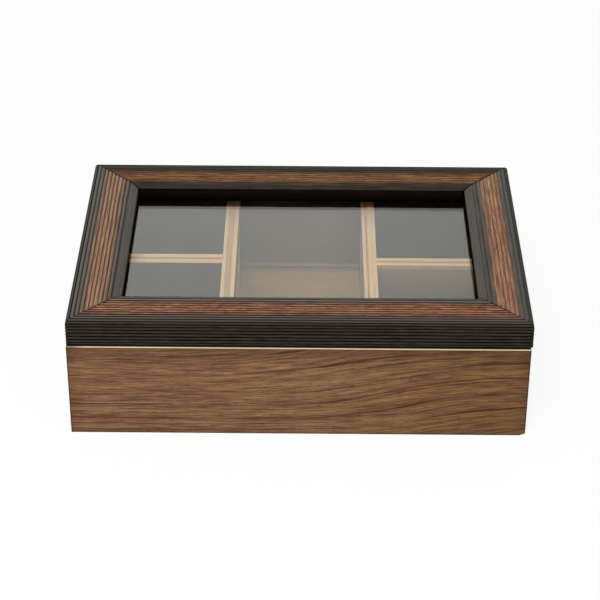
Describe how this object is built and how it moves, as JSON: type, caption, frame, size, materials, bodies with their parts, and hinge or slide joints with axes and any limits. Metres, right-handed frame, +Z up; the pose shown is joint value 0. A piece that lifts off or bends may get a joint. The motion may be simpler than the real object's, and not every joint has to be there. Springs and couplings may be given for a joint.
{
  "type": "tea bag organizer box",
  "caption": "Rectangular wooden box with divided compartments for tea bags, under a back-hinged lid of mitred reeded rails that frame a glass pane.",
  "frame": {"origin": "centre of the box's underside, on the surface that it stands on", "axes": "+X to the box's right, +Y to the hinged back, +Z up"},
  "size_m": [0.28, 0.2063, 0.0801],
  "materials": {
    "walnut_veneer": "walnut veneer, satin lacquer",
    "core_wood": "pale core, raw edges, dark-stained inside",
    "divider_plywood": "plywood with raw top edges and dark-stained faces",
    "bottom_wood": "thin brown wood panel, matt",
    "reeded_moulding": "reeded moulding, brown wood grain with charcoal edges",
    "glass": "clear float glass",
    "brass": "satin brass",
    "steel": "bright steel"
  },
  "bodies": {
    "base": {"front_board": "core_wood", "back_board": "core_wood", "left_board": "core_wood", "right_board": "core_wood", "front_veneer": "walnut_veneer", "back_veneer": "walnut_veneer", "left_veneer": "walnut_veneer", "right_veneer": "walnut_veneer", "bottom_panel": "bottom_wood", "bottom_brads": "steel", "left_long_divider": "divider_plywood", "right_long_divider": "divider_plywood", "left_cross_divider": "divider_plywood", "right_cross_divider": "divider_plywood", "left_hinge_base_leaf": "brass", "right_hinge_base_leaf": "brass", "left_hinge_pin": "brass", "right_hinge_pin": "brass", "base_hinge_screws": "brass"},
    "lid": {"front_rail": "reeded_moulding", "back_rail": "reeded_moulding", "left_rail": "reeded_moulding", "right_rail": "reeded_moulding", "glass_pane": "glass", "glazing_points": "steel", "corner_nails": "steel", "left_hinge_lid_leaf": "brass", "right_hinge_lid_leaf": "brass", "lid_hinge_screws": "brass"}
  },
  "joints": [
    {"name": "lid_hinge", "type": "hinge", "parent": "base", "child": "lid", "pos_m": [0, 0.1025, 0.0624], "axis": [-1, 0, 0], "range_deg": [0, 100]}
  ]
}
